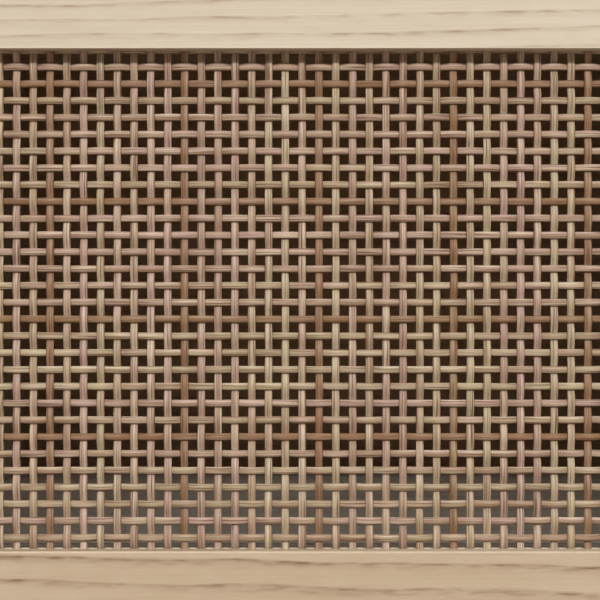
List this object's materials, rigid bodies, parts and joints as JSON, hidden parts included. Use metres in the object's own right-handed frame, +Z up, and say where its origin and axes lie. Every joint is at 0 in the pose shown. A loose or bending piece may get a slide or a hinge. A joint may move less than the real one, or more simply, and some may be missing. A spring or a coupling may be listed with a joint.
{
  "type": "tv stand",
  "caption": "Low media cabinet on splayed turned legs, with an open shelved centre bay between framed doors of woven reed webbing on butt hinges.",
  "frame": {"origin": "on the floor, under the middle of the overall box", "axes": "+X along the length to the right as seen from the front, +Y to the back, +Z up"},
  "size_m": [1.4, 0.418, 0.48],
  "materials": {
    "panel_wood": "pale oak veneer, clear matt lacquer",
    "door_wood": "pale solid ash, clear matt lacquer",
    "leg_wood": "turned pale ash, clear matt lacquer",
    "back_board": "thin board, brown matt face",
    "dowel_wood": "plain beech",
    "reed": "natural woven reed, satin fibre",
    "brass": "brushed",
    "steel": "zinc plated",
    "zinc": "cast, satin",
    "dark_plastic": "fine matt moulding",
    "glide_plastic": "matt",
    "bumper_rubber": "soft translucent"
  },
  "bodies": {
    "cabinet": {"top_panel": "panel_wood", "bottom_panel": "panel_wood", "left_side_panel": "panel_wood", "right_side_panel": "panel_wood", "left_divider": "panel_wood", "right_divider": "panel_wood", "left_back_panel": "back_board", "centre_back_panel": "back_board", "right_back_panel": "back_board", "cable_grommet": "dark_plastic", "centre_shelf": "panel_wood", "shelf_pins": "brass", "carcass_dowels": "dowel_wood", "cam_discs": "zinc", "cam_bolts": "zinc", "divider_screws": "steel", "leg_front_left": "leg_wood", "leg_front_right": "leg_wood", "leg_rear_left": "leg_wood", "leg_rear_right": "leg_wood", "leg_plates": "steel", "hanger_bolts": "steel", "foot_glides": "glide_plastic", "left_hinge_frame_leaves": "brass", "left_hinge_pins": "brass", "left_catch_body": "dark_plastic", "left_catch_poles": "steel", "right_hinge_frame_leaves": "brass", "right_hinge_pins": "brass", "right_catch_body": "dark_plastic", "right_catch_poles": "steel"},
    "left_door": {"left_door_top_rail": "door_wood", "left_door_bottom_rail": "door_wood", "left_door_hinge_stile": "door_wood", "left_door_closing_stile": "door_wood", "left_door_webbing": "reed", "left_door_beads": "door_wood", "left_door_bumpers": "bumper_rubber", "left_knob": "brass", "left_knob_screw": "steel", "left_strike_plate": "steel", "left_hinge_door_leaves": "brass"},
    "right_door": {"right_door_top_rail": "door_wood", "right_door_bottom_rail": "door_wood", "right_door_hinge_stile": "door_wood", "right_door_closing_stile": "door_wood", "right_door_webbing": "reed", "right_door_beads": "door_wood", "right_door_bumpers": "bumper_rubber", "right_knob": "brass", "right_knob_screw": "steel", "right_strike_plate": "steel", "right_hinge_door_leaves": "brass"}
  },
  "joints": [
    {"name": "left_door_hinge", "type": "hinge", "parent": "cabinet", "child": "left_door", "pos_m": [-0.6932, -0.1656, 0.312], "axis": [0, 0, -1], "range_deg": [0, 180]},
    {"name": "right_door_hinge", "type": "hinge", "parent": "cabinet", "child": "right_door", "pos_m": [0.6932, -0.1656, 0.312], "axis": [0, 0, 1], "range_deg": [0, 180]}
  ]
}
